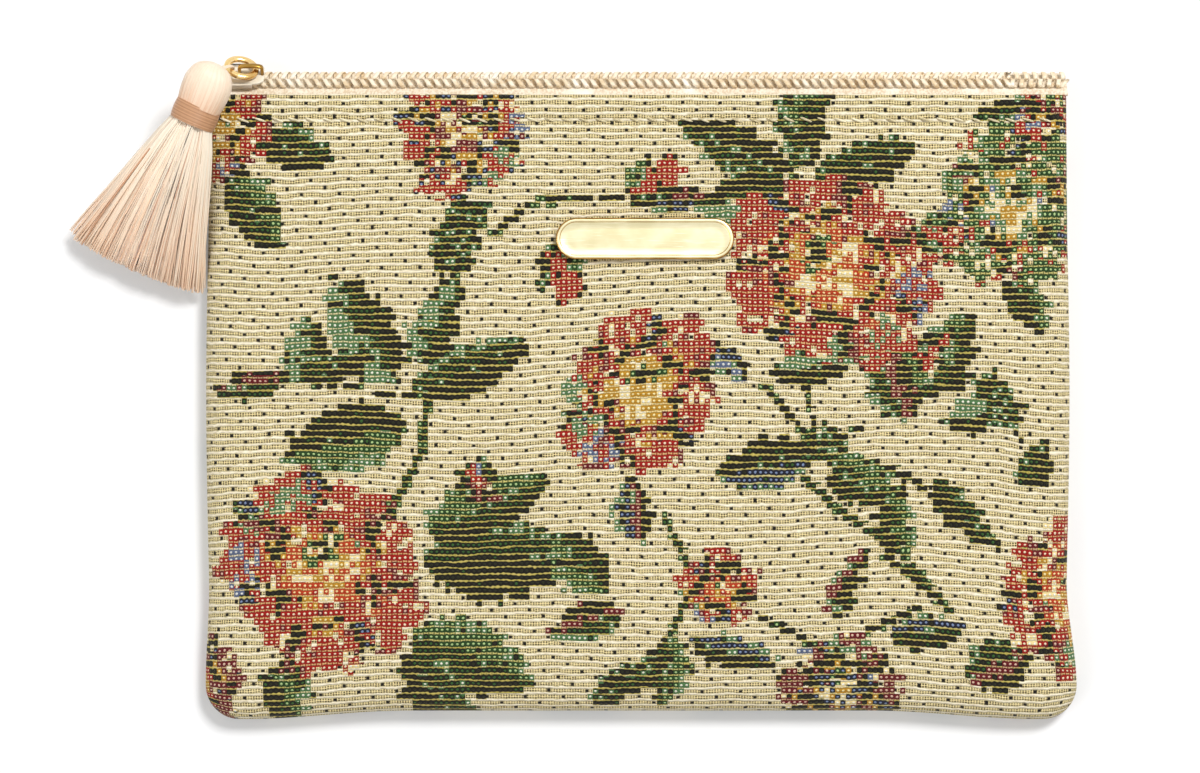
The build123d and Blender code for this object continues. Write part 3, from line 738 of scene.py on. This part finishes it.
def silkMaterial(name, bright, deep, dark):
    given = {"Bright": colour(bright), "Deep": colour(deep), "Dark": colour(dark)}
    return groupMaterial(name, floss, given, 0.3, 0.00005,
                         **{"Sheen Weight": 0.4, "Sheen Roughness": 0.3, "Anisotropic": 0.5})


# The row of slanted stitches along the turned hem
def makeTopstitches():
    mat = threadMaterial("stitching_thread", "#EADDB4", "#A8966A", "#F6ECCB",
                         (0, 0, 0.6), (3000, 9000, 3000), 0.5, 0.2)
    bm = bmesh.new()
    spot, half, thin = topstitch["first"], topstitch["length"] / 2, topstitch["width"] / 2
    while spot < topstitch["last"]:
        made = bmesh.ops.create_uvsphere(bm, u_segments=8, v_segments=7, radius=1.0)["verts"]
        turn(bm, made, math.pi / 2, "Y")
        scaleBy(bm, made, half, thin, thin)
        for vert in made:
            vert.co.z -= 0.16 * (vert.co.x / half) ** 2
        turn(bm, made, topstitch["lean"] + random.uniform(-0.06, 0.06), "Z")
        hold = min(1.0, (pouch["halfWidth"] - abs(spot)) / 6.0)
        height = pouch["crownZ"] - 0.42 - 1.3 * (1 - hold) ** 2
        shift(bm, made, spot, topstitch["y"] + 0.06 * math.sin(spot * 0.3), height)
        spot += topstitch["pitch"]
    return toObject(bm, "topstitching", "pouch", mat)


zipSet = {"y": 52.93, "z": 3.6, "tilt": 40.0, "pitch": 1.5, "left": -65.3, "right": 69.8, "halfWidth": 1.52,
          "low": 0.05, "high": 1.5, "strand": 0.4, "press": 0.72, "turned": 6, "steps": 12,
          "lean": 0.3, "turnedLean": -0.75}


# Turns a piece from the chain's own frame (x along, y to the back tape, z out) to their place
def onZip(bm):
    turn(bm, bm.verts[:], -math.radians(zipSet["tilt"]), "X")
    shift(bm, bm.verts[:], 0, zipSet["y"], zipSet["z"])


# One row of the coil chain: a flattened screw of monofilament that meets the other in the middle
def makeCoil(side, mat):
    bm = bmesh.new()
    z, half, pitch, steps = zipSet, zipSet["halfWidth"], zipSet["pitch"], zipSet["steps"]
    turns = int((z["right"] - z["left"]) / pitch)
    ring = bmesh.ops.create_circle(bm, segments=7, radius=z["strand"])["verts"]
    turn(bm, ring, math.pi / 2, "Y")
    turn(bm, ring, math.pi / 2, "X")
    shift(bm, ring, 0, 1, 0)
    turn(bm, ring, math.pi / 2, "Z", (0, 1, 0))
    sweep(bm, bm.verts[:] + bm.edges[:], (1, 0, 0), math.tau * turns, steps * turns, (-side * pitch / steps, 0, 0))
    middle = (z["low"] + z["high"]) / 2
    halfHigh = (z["high"] - z["low"]) / 2 - z["strand"] * z["press"]
    first = min(v.co.x for v in bm.verts)
    turnAt = z["right"] - z["turned"] * pitch
    for vert in bm.verts:
        # a round turn pressed to an oval: legs flat above and below, heads full in the middle
        x = vert.co.x - first + z["left"]
        angle = math.atan2(vert.co.z, vert.co.y)
        grow = (math.hypot(vert.co.y, vert.co.z) - 1) * z["press"]
        y = side * (half / 2 + 0.06) + softSquare(math.cos(angle), 0.7) * (half / 2 + grow)
        lean = z["lean"] if x < turnAt else z["turnedLean"]
        vert.co = (x + lean * abs(y) / half, y, middle + softSquare(math.sin(angle), 0.7) * (halfHigh + grow))
    onZip(bm)
    row = "front" if side < 0 else "back"
    return toObject(bm, "coil_" + row, "pouch", mat, "zip_coil_" + row)


coilMat = threadMaterial("coil_nylon", "#F7E9D0", "#E2C9A2", "#FFF6E6", (0, 0, 0),
                         (500, 500, 500), 0.3, 0.0, 0.00001)
makeTopstitches()
for side in (-1, 1):
    makeCoil(side, coilMat)
print("coil chain made")


tassel = {"centre": (-69.5, 51.6, 11.7), "turn": 23.6, "drop": 7.0, "headWidth": 7.7, "headThick": 5.8,
          "below": 3.2, "binding": 3.2, "length": 26.6, "hem": 23.3, "sag": 4.8, "strands": 1500,
          "thread": 0.17, "tip": 0.11, "locks": 9, "narrow": 0.84, "gather": 0.62}
halfWide, halfThick = tassel["headWidth"] / 2, tassel["headThick"] / 2


# Turns a piece from the tassel's frame (z hem to head, x across, y down) to their place
def onTassel(bm):
    turn, drop = math.radians(tassel["turn"]), math.radians(tassel["drop"])
    along = Vector((math.sin(turn) * math.cos(drop), math.cos(turn) * math.cos(drop), math.sin(drop)))
    across = Vector((math.cos(turn), -math.sin(turn), 0))
    bmesh.ops.rotate(bm, verts=bm.verts[:], matrix=Matrix((across, along.cross(across), along)).transposed())
    shift(bm, bm.verts[:], *tassel["centre"])


def flossLayers(bm):
    return bm.verts.layers.float.new("tint"), bm.verts.layers.float.new("along")


# Small circles drawn out together: in each extrusion every strand takes its next step
def drawStrands(bm, lines, radii, tints, sides=3):
    tint, along = flossLayers(bm)
    strand, corner = (bm.verts.layers.int.new(name) for name in ("strand", "corner"))
    for i in range(len(lines)):
        for k, vert in enumerate(bmesh.ops.create_circle(bm, segments=sides, radius=1.0)["verts"]):
            vert[strand], vert[corner], vert[tint] = i, k, tints[i]
    verts, edges = bm.verts[:], bm.edges[:]
    last = len(radii) - 1
    for step, radius in enumerate(radii):
        if step:
            verts, edges = drawEdges(bm, edges)
        for vert in verts:
            line = lines[vert[strand]]
            ahead = (line[min(step + 1, last)] - line[max(step - 1, 0)]).normalized()
            wide = ahead.cross(Vector((0, 1, 0))).normalized()
            a = math.tau * vert[corner] / sides + 2.4 * vert[strand]  # each strand lies turned its own way
            vert.co = line[step] + (wide * math.cos(a) + wide.cross(ahead) * math.sin(a)) * radius
            vert[along] = step / last
    caps = bmesh.ops.holes_fill(bm, edges=bm.edges[:], sides=sides)["faces"]
    for edge in {e for f in caps for e in f.edges}:  # cut ends stay crisp
        edge.smooth = False
    return tint, along


# The skirt: a fan of silk strands that leave the band together and spread to the cut hem
def makeSkirt(mat):
    bm = bmesh.new()
    lines, tints = [], []
    top = -tassel["below"] - tassel["binding"] + 0.6
    for i in range(tassel["strands"]):
        ring = math.sqrt((i + 0.5) / tassel["strands"])
        a = i * 2.39996
        lock = 0.5 + 0.5 * math.sin(7.0 * math.cos(a) + 2.3 * math.sin(2 * a))
        u, v = ring * math.cos(a), ring * math.sin(a)
        stray = random.gauss(0, 1)
        number = math.floor((u + 0.25 * v) * tassel["locks"] + 0.5)
        centre = number / tassel["locks"] - 0.25 * v
        length = tassel["length"] * (1 - 0.035 * abs(random.gauss(0, 1)) - 0.03 * u * u) + 0.5
        wander = random.uniform(-1, 1)
        line = []
        for k in range(8):
            t = k / 7
            wide = halfWide * tassel["narrow"] * (1 - t) + tassel["hem"] / 2 * (t ** 0.9)
            thick = halfThick * (tassel["narrow"] + 0.1 * t - 0.25 * t * t)
            gathered = u + (centre - u) * tassel["gather"] * t
            x = gathered * wide * (1 - 0.04 * lock * math.sin(t * math.pi))
            x += stray * 0.22 * t ** 3 + 0.2 * wander * math.sin(t * 5 + a)
            y = v * thick * (0.9 + 0.12 * math.sin(9 * u + 1)) + tassel["sag"] * t * t + 0.2 * wander * t
            line.append(Vector((x, y, top - length * t)))
        lines.append(line)
        shade = 0.45 * random.random() + 0.3 * (0.5 + 0.5 * math.sin(number * 2.7))
        # strands far from their lock's middle get a higher tint: painted shade in the gaps between locks
        tints.append(min(1.0, shade + 0.45 * min(1, abs(centre - u) * 18) ** 3))
    drawStrands(bm, lines, [tassel["thread"]] * 7 + [tassel["tip"]], tints)
    onTassel(bm)
    return toObject(bm, "skirt_strands", "tassel", mat, "tassel_skirt", normals=False)


headSet = {"strands": 170, "thread": 0.15, "steps": 24,
           # heights over the middle, each with its share of the width
           "form": ((-3.6, 0.9), (-1.4, 0.99), (0.6, 1.0), (2.0, 0.9), (3.0, 0.73), (3.6, 0.5), (3.95, 0.16))}


# The head: a full roll of strands that rise from the band, gather at the loop and come down behind
def makeHead(mat):
    bm = bmesh.new()
    lines, count = [], headSet["strands"]
    heights, widths = zip(*headSet["form"])
    bottom, peak = heights[0], heights[-1]
    for i in range(count):
        share = math.sin(math.pi / 2 * (-1 + 2 * (i + 0.5) / count))
        line = []
        for k in range(headSet["steps"] + 1):
            a = math.pi * k / headSet["steps"]
            z = bottom + (peak - bottom) * math.sin(a) ** 0.8
            wide = float(np.interp(z, heights, widths)) * (1.0 if i % 3 else 0.95)
            x = (share + 0.16 * math.cos(a) * (1 - share * share)) * wide * halfWide
            face = max(-1.0, min(1.0, math.cos(a) * 5))
            line.append(Vector((x, -face * wide * halfThick * math.sqrt(1.001 - share * share), z)))
        lines.append(line)
    tint, along = drawStrands(bm, lines, [headSet["thread"]] * len(lines[0]),
                              [0.8 * random.random() for line in lines], 5)
    # painted light and shade: the head's strands are paler over the dome and deeper down by the band
    for vert in bm.verts:
        vert[along] = min(1.0, max(0.0, 0.95 - (vert.co.z - bottom) / 4.6))
    for vert in bmesh.ops.create_uvsphere(bm, u_segments=28, v_segments=20, radius=1.0)["verts"]:
        x, y, high = vert.co
        z = bottom + (peak - bottom) * (high + 1) / 2
        wide = float(np.interp(z, heights, widths)) * 0.9 * min(1.0, (1 - abs(high)) * 30)
        flat = math.hypot(x, y) or 1.0
        vert.co = (x / flat * wide * halfWide, y / flat * wide * halfThick, z)
        vert[tint], vert[along] = 0.8, 0.6
    onTassel(bm)
    return toObject(bm, "head_strands", "tassel", mat, "tassel_head", normals=False)


bandSet = {"turns": 17, "thread": 0.125, "steps": 30, "core": 0.92}


# The band: one fine thread wound round the neck in close turns, over a plain core
def makeBinding(mat):
    bm = bmesh.new()
    tint, along = flossLayers(bm)
    turns, steps = bandSet["turns"], bandSet["turns"] * bandSet["steps"]
    sweep(bm, threadRing(bm, bandSet["thread"]), (0, 0, 1), math.tau * turns, steps,
          (0, 0, -tassel["binding"] / steps))
    bmesh.ops.holes_fill(bm, edges=bm.edges[:], sides=6)
    for vert in bm.verts:
        down = -vert.co.z / tassel["binding"]
        angle, out = roundPlace(vert)
        bulge = 0.93 + 0.035 * math.sin(math.pi * min(1, max(0, down)))
        # each turn its own tone: uneven thread, and also painted glints that pick out single turns
        vert[tint] = 0.42 + 0.4 * math.sin(2.4 * round(down * turns - angle / math.tau))
        vert[along] = 0.7
        vert.co.x = math.cos(angle) * (halfWide * bulge + out)
        vert.co.y = math.sin(angle) * (halfThick * bulge + out)
    core = bmesh.ops.create_cone(bm, cap_ends=True, segments=28, radius1=bandSet["core"], radius2=bandSet["core"],
                                 depth=tassel["binding"])["verts"]
    scaleBy(bm, core, halfWide, halfThick, 1)
    shift(bm, core, 0, 0, -tassel["binding"] / 2)
    shift(bm, bm.verts[:], 0, 0, -tassel["below"])
    onTassel(bm)
    return toObject(bm, "band_windings", "tassel", mat, "tassel_binding")


silk = silkMaterial("tassel_silk", "#FFF4E0", "#FBD0AC", "#C98D62")
headSilk = silkMaterial("head_silk", "#FAE6CE", "#E2AC84", "#BC8560")
bandSilk = silkMaterial("band_silk", "#DDAE86", "#A06A42", "#74472A")
skirt = makeSkirt(silk)
makeHead(headSilk)
makeBinding(bandSilk)
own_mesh(skirt)
print("tassel made")


gold = metalMaterial("polished_gold", "#F0CF8E", "#D3A55C", "#FFEDC4", 0.16, 0.03, 0.04)
# the bail is darker than the ring's gold: its own brass colour with painted shade added where it sits under the ring
bailBrassShaded = metalMaterial("bail_brass", "#B58D45", "#7C5A22", "#D9B870", 0.3, 0.06)
plateGold = metalMaterial("champagne_plate", "#DCD4B1", "#D3C9A0", "#E8E0C4", 0.42, 0.03, 0.06)
rimGold = metalMaterial("champagne_rim", "#D0A862", "#A67A38", "#EBD29A", 0.2, 0.04)


sliderSet = {"x": -64.6, "length": 7.4, "halfWidth": 2.5, "low": -0.95, "gapLow": -0.4, "gapHigh": 1.6,
             "high": 2.1, "lip": 1.0, "post": 0.72, "bailTop": 4.2, "bailHalf": 0.42}
ringSet = {"x": -62.25, "n": 2.85, "length": 5.7, "width": 4.9, "band": 1.05, "thick": 0.9, "lift": 15.0}


def roundEdges(bm, edges, width, segments=3):
    bmesh.ops.bevel(bm, geom=edges, offset=width, segments=segments, profile=0.5, affect="EDGES", material=-1)


# Stations along a blade, wide at the wedge end and waisted at the back: each its share of the
# length and of the half width
bladeForm = ((-0.5, 0.64), (-0.39, 1.0), (0.03, 1.0), (0.38, 0.86), (0.5, 0.6))


def makeBlade(bm, low, high):
    last = len(bladeForm) - 1
    made = bmesh.ops.create_grid(bm, x_segments=last, y_segments=1, size=0.5)["verts"]
    for vert in made:
        x, half = bladeForm[round((vert.co.x + 0.5) * last)]
        vert.co = (x * sliderSet["length"], math.copysign(half, vert.co.y) * sliderSet["halfWidth"], low)
    up = bmesh.ops.extrude_face_region(bm, geom=list({f for v in made for f in v.link_faces}))["geom"]
    shift(bm, vertsOf(up), 0, 0, high - low)


# Two blades, the wedge post between them, side flanges and the arched bail
def makeSlider(mat):
    bm = bmesh.new()
    s = sliderSet
    makeBlade(bm, s["low"], s["gapLow"])
    makeBlade(bm, s["gapHigh"], s["high"])
    bmesh.ops.recalc_face_normals(bm, faces=bm.faces[:])
    roundEdges(bm, [e for e in bm.edges if e.calc_face_angle(0) > 0.3], 0.16)
    for side in (-1, 1):
        made = bmesh.ops.create_cube(bm, size=1.0)["verts"]
        scaleBy(bm, made, s["length"] * 0.62, 0.5, s["lip"])
        shift(bm, made, -0.5, side * (s["halfWidth"] - 0.32), s["high"] - s["lip"] / 2)
        roundEdges(bm, list({e for v in made for e in v.link_edges}), 0.12, 2)
    post = bmesh.ops.create_cone(bm, cap_ends=True, segments=14, radius1=s["post"], radius2=s["post"],
                                 depth=s["gapHigh"] - s["gapLow"] + 0.4)["verts"]
    shift(bm, post, 1.0 - s["length"] / 2, 0, (s["gapHigh"] + s["gapLow"]) / 2)
    shift(bm, bm.verts[:], s["x"], 0, 0)
    onZip(bm)
    return toObject(bm, "slider", "slider", mat, "slider_body")


# The bail: a flat bar that rises from the slider, arches over the ring and comes down again
def makeBail(mat):
    bm = bmesh.new()
    s = sliderSet
    left, right = ringSet["x"] - s["x"] - 2.6, ringSet["x"] - s["x"] + 1.05
    middle, reach, foot, knee = (left + right) / 2, (right - left) / 2, s["high"] - 0.3, s["bailTop"] - 0.75
    for vert in bmesh.ops.create_circle(bm, segments=10, radius=1.0)["verts"]:  # a softly squared section
        x, y = (softSquare(c, 0.6) for c in vert.co[:2])
        vert.co = (left + 0.27 * x, s["bailHalf"] * y, foot)
    verts, edges = drawEdges(bm, bm.edges[:])
    shift(bm, verts, 0, 0, knee - foot)
    arch = sweep(bm, verts + edges, (0, 1, 0), math.pi, 8, cent=(middle, 0, knee))
    verts, edges = drawEdges(bm, edgesOf(arch))
    shift(bm, verts, 0, 0, foot - knee)
    bmesh.ops.holes_fill(bm, edges=bm.edges[:], sides=10)
    for vert in bm.verts:  # press the half round arch down to the bail's height
        angle = math.atan2(vert.co.z - knee, vert.co.x - middle)
        if 0 < angle < math.pi:
            out = math.hypot(vert.co.z - knee, vert.co.x - middle) - reach
            vert.co.z = knee + 0.48 * math.sin(angle) ** 0.7 + out * math.sin(angle)
    shift(bm, bm.verts[:], s["x"], 0, 0)
    onZip(bm)
    return toObject(bm, "bail", "slider", mat)


# The oval pull ring, a softly squared band turned full round
def makeRing(mat):
    bm = bmesh.new()
    r = ringSet
    made = bmesh.ops.create_circle(bm, segments=16, radius=1.0)["verts"]
    for vert in made:
        x, y = (softSquare(c, 0.75) for c in vert.co[:2])
        vert.co = (x * r["band"] / 2, 0, y * r["thick"] / 2)
    shift(bm, made, (r["width"] - r["band"]) / 2, 0, 0)
    sweep(bm, bm.verts[:] + bm.edges[:], (0, 0, 1), math.tau, 64, merge=True)
    bmesh.ops.remove_doubles(bm, verts=bm.verts[:], dist=0.001)
    for vert in bm.verts:
        vert.co.x += (r["length"] - r["width"]) / 2 * math.cos(math.atan2(vert.co.y, vert.co.x))
    shift(bm, bm.verts[:], -(r["length"] - r["band"]) / 2, 0, 0)
    turn(bm, bm.verts[:], math.radians(r["lift"]), "Y")
    shift(bm, bm.verts[:], r["x"], 0, r["n"])
    onZip(bm)
    return toObject(bm, "ring", "ring", mat, "pull_ring")


plateSet = {"length": 28.9, "width": 6.7, "thick": 1.0, "x": 1.1, "y": 27.3, "z": 7.8,
            # insets from the edge inwards, each with its rise: the rim, then the sunk face
            "steps": ((0.1, 0.16), (0.14, 0.1), (0.22, 0.02), (0.14, -0.06), (0.12, -0.08), (1.2, 0.05))}


# The bare name plate: a stadium with a bright bevelled rim round a slightly sunk face
def makePlate(mat, rimMat):
    bm = bmesh.new()
    straight = (plateSet["length"] - plateSet["width"]) / 2
    verts = bmesh.ops.create_circle(bm, cap_ends=True, segments=48, radius=plateSet["width"] / 2)["verts"]
    turn(bm, verts, math.pi / 48, "Z")
    for vert in verts:
        vert.co.x += math.copysign(straight, vert.co.x)
    up = bmesh.ops.extrude_face_region(bm, geom=bm.faces[:])["geom"]
    lid = [g for g in up if isinstance(g, bmesh.types.BMFace)]
    shift(bm, vertsOf(up), 0, 0, plateSet["thick"] - 0.28)
    for inset, rise in plateSet["steps"]:
        bmesh.ops.inset_region(bm, faces=lid, thickness=inset, use_even_offset=True)
        shift(bm, list({v for f in lid for v in f.verts}), 0, 0, rise)
    shift(bm, bm.verts[:], plateSet["x"], plateSet["y"], plateSet["z"])
    piece = toObject(bm, "plate", "pouch", mat, "name_plate")
    piece.data.materials.append(rimMat)
    for face in piece.data.polygons:
        face.material_index = int(face.normal.z < 0.9)
    return piece


loopSet = {"foot": (-66.3354, 54.6198, 7.3315), "headSide": (1.1, 2.0, -0.6), "ringWay": (-0.554, 0.7229, -0.4128),
           "halfWidth": 1.2, "thread": 0.1, "slack": 0.5}


# The doubled thread that ties the tassel's head to the ring: three turned loops, drawn long
def makeLoop(mat):
    foot = Vector(loopSet["foot"])
    reach = Vector(tassel["centre"]) + Vector(loopSet["headSide"]) - foot
    up = reach.normalized()
    wide = up.cross(Vector(loopSet["ringWay"])).normalized()
    bm = bmesh.new()
    tint, along = flossLayers(bm)
    for offset in (-0.17, 0.0, 0.17):
        sweep(bm, threadRing(bm, loopSet["thread"], offset), (0, 0, 1), math.tau, 28, merge=True)
    bmesh.ops.remove_doubles(bm, verts=bm.verts[:], dist=0.001)
    for vert in bm.verts:
        angle, out = roundPlace(vert)
        vert.co.x = math.cos(angle) * (reach.length / 2 + loopSet["slack"] + out)
        vert.co.y = math.sin(angle) * (loopSet["halfWidth"] + out)
        vert[tint] = vert[along] = 0.3
    bmesh.ops.rotate(bm, verts=bm.verts[:], matrix=Matrix((up, wide, up.cross(wide))).transposed())
    shift(bm, bm.verts[:], *(foot + up * (reach.length / 2 - 0.55)))
    return toObject(bm, "loop_threads", "tassel", mat, "tassel_loop")


# Glossy enamel over cast metal
makeSlider(metalMaterial("cream_enamel", "#F1E8D6", "#E6DCC6", "#EFE5D0", 0.28, 0.05, 0.1, 0.0))
makeBail(bailBrassShaded)
makeRing(gold)
makePlate(plateGold, rimGold)
makeLoop(headSilk)
print("slider, ring, plate and loop made")


tapeSet = {"thick": 0.4, "half": 69.9, "steps": 90}


# A zip tape that stays in the mouth: a grid laid along its path and given its thickness
def makeTape(name, path, mat, node):
    bm = bmesh.new()
    bmesh.ops.create_grid(bm, x_segments=tapeSet["steps"], y_segments=len(path) - 1, size=1.0)
    for vert in bm.verts:
        y, z = path[round((vert.co.y + 1) / 2 * (len(path) - 1))]
        vert.co = (vert.co.x * tapeSet["half"], y, z)
    bm.normal_update()
    for vert in bm.verts:
        vert.co += vert.normal * tapeSet["thick"] / 2
    bmesh.ops.solidify(bm, geom=bm.verts[:] + bm.edges[:] + bm.faces[:], thickness=tapeSet["thick"])
    return toObject(bm, name, "pouch", mat, node)


tapeMat = threadMaterial("woven_tape", "#F3E6D0", "#DCC7A8", "#FFF8EA", (0, 0, 0.78),
                         (2600, 900, 2600), 0.7, 0.15)
liningMat = threadMaterial("lining_cotton", "#EFE3C8", "#D9C8A2", "#F9F1DE", (0, 0, 0),
                           (3200, 3200, 3200), 0.8, 0.15)
backingMat = metalMaterial("backing_steel", "#B9BCC0", "#9A9EA4", "#D5D8DC", 0.35, 0.05)
for node, mat in (("zip_tape_front", tapeMat), ("lining_front", liningMat), ("lining_back", liningMat),
                  ("plate_backing", backingMat)):
    for slot in bpy.data.objects[node].material_slots:
        slot.material = mat

c, n = math.cos(math.radians(zipSet["tilt"])), math.sin(math.radians(zipSet["tilt"]))
backPath = [(zipSet["y"] + y * c, zipSet["z"] - y * n) for y in (0.04, 0.9, 1.75)]
backPath += [(54.5, 2.1), (54.45, 1.6), (54.2, 1.05), (53.6, 0.72), (52.6, 0.85), (51.2, 1.2), (49.0, 1.35),
             (43.0, 1.35)]
makeTape("tape_back", backPath, tapeMat, "zip_tape_back")

stageSet = {"floor": "#E6E6E6", "lift": 0.165, "key": 1.27, "fill": 0.68, "world": 0.37}


# Outputs of a light path that tell which rays look at a surface
def lookedAt(tree, *rays):
    path = addNode(tree, "ShaderNodeLightPath")
    return [path.outputs[ray] for ray in rays]


# The white table: matte for the light, with a little glow where it is looked at
def makeStage():
    mat, tree, shader = newMaterial("white_table")
    shader.inputs["Base Color"].default_value = colour(stageSet["floor"])
    shader.inputs["Roughness"].default_value = 0.9
    shader.inputs["Specular IOR Level"].default_value = 0.1
    seen = mathNode(tree, "MAXIMUM", *lookedAt(tree, "Is Camera Ray", "Is Glossy Ray"))
    seen = mathNode(tree, "MAXIMUM", seen, *lookedAt(tree, "Is Transmission Ray"))
    glow = addNode(tree, "ShaderNodeEmission")
    feed(tree, glow, (("Strength", mathNode(tree, "MULTIPLY", seen, stageSet["lift"])),))
    both = feed(tree, addNode(tree, "ShaderNodeAddShader"), ((0, shader.outputs[0]), (1, glow.outputs[0])))
    feed(tree, tree.nodes["Material Output"], (("Surface", both.outputs[0]),))
    bm = bmesh.new()
    bmesh.ops.create_grid(bm, x_segments=2, y_segments=2, size=1.4)
    linked("table", toMesh(bm, "table", mat))


# White air: full where it is looked at, weaker where it lights
def makeWorld():
    world = bpy.data.worlds.new("studio")
    world.use_nodes = True
    tree = world.node_tree
    seen = mathNode(tree, "MAXIMUM", *lookedAt(tree, "Is Camera Ray", "Is Glossy Ray"))
    strength = mathNode(tree, "ADD", mathNode(tree, "MULTIPLY", seen, 1.0 - stageSet["world"]), stageSet["world"])
    feed(tree, tree.nodes["Background"], (("Color", (1, 1, 1, 1)), ("Strength", strength)))
    bpy.context.scene.world = world


def addArea(name, place, size, energy):
    lamp = bpy.data.lights.new(name, "AREA")
    lamp.shape = "RECTANGLE"
    lamp.size, lamp.size_y = size
    lamp.energy = energy
    holder = linked(name, lamp)
    holder.location = place
    holder.rotation_euler = Vector(place).to_track_quat("Z", "Y").to_euler()


cameraSet = {"x": -6.19, "y": 3.34, "wide": 195.6, "lens": 100.0, "sensor": 36.0, "plane": 5.0}


def makeCamera():
    camera = bpy.data.cameras.new("camera")
    camera.lens, camera.sensor_width, camera.clip_start = cameraSet["lens"], cameraSet["sensor"], 0.01
    viewer = linked("camera", camera)
    away = cameraSet["wide"] * cameraSet["lens"] / cameraSet["sensor"] + cameraSet["plane"]
    viewer.location = (cameraSet["x"] * mm, cameraSet["y"] * mm, away * mm)
    bpy.context.scene.camera = viewer


makeStage()
addArea("key", (0.45, 0.64, 1.02), (0.34, 0.34), 10.5 * stageSet["key"])
addArea("fill", (-0.9, -0.3, 0.8), (0.9, 0.9), 7.0 * stageSet["fill"])
makeWorld()
makeCamera()
bpy.context.scene.view_settings.view_transform = "Standard"
print("stage, light and camera set")
